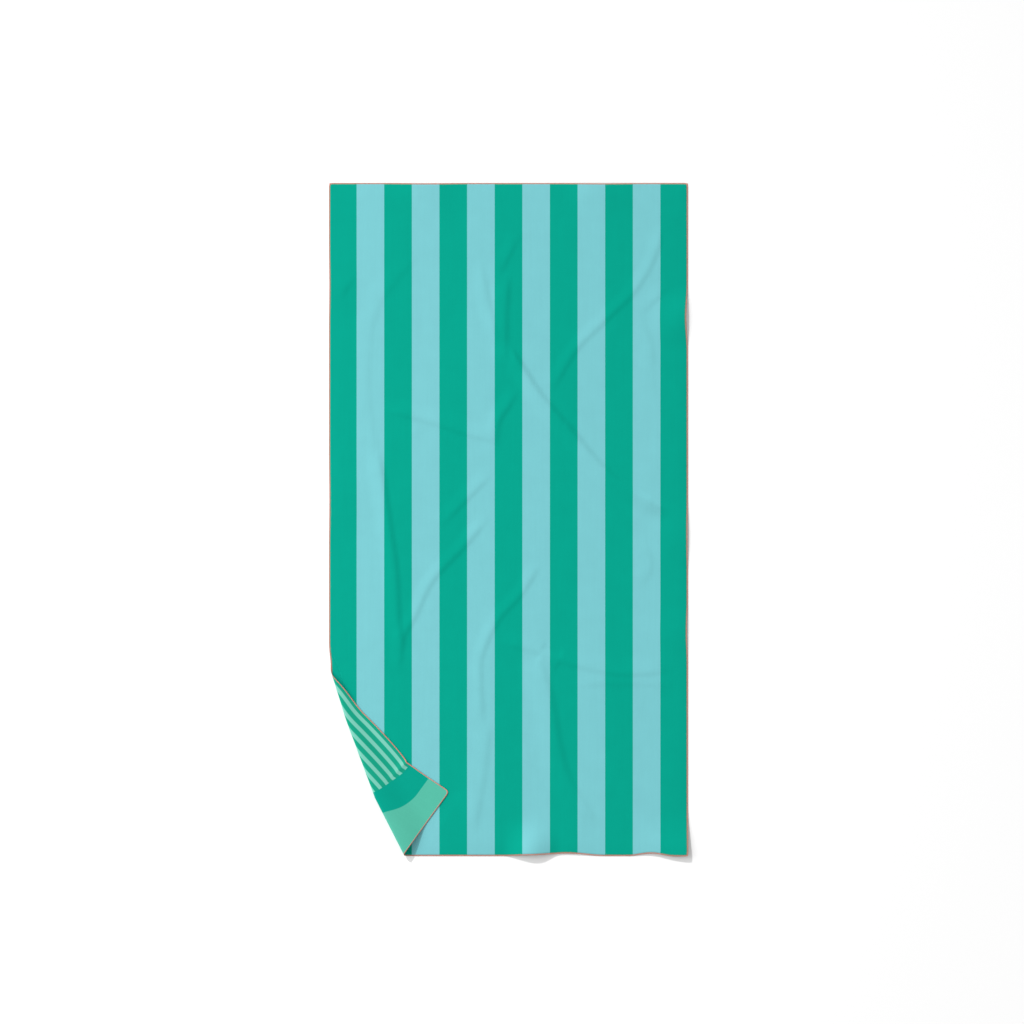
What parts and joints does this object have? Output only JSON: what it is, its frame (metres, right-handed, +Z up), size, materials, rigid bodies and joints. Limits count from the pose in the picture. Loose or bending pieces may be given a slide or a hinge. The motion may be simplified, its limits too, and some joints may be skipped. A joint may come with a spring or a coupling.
{
  "type": "quick dry towel",
  "caption": "Striped microfibre travel towel with an overlocked edge, lying flat with one corner turned over to show the reverse.",
  "frame": {"origin": "under the middle of the whole towel, on the surface that it lies on", "axes": "+X across the stripes, +Y along the stripes and away from the turned corner, +Z up out of the printed face"},
  "size_m": [0.8, 1.5, 0.014],
  "materials": {
    "printed_face": "matte",
    "printed_reverse": "matte",
    "edging_thread": "satin"
  },
  "bodies": {
    "towel": {"towel_field": "printed_face", "fold_lower_half": "printed_reverse", "top_edging": "edging_thread", "right_edging": "edging_thread", "bottom_edging": "edging_thread", "left_edging": "edging_thread"},
    "corner": {"fold_upper_half": "printed_reverse", "turned_corner": "printed_reverse", "corner_side_edging": "edging_thread", "corner_end_edging": "edging_thread"}
  },
  "joints": [
    {"name": "corner_fold", "type": "hinge", "parent": "towel", "child": "corner", "pos_m": [-0.32179, -0.53768, 0.007], "axis": [0.3677, -0.93, 0], "range_deg": [0, 179]}
  ]
}
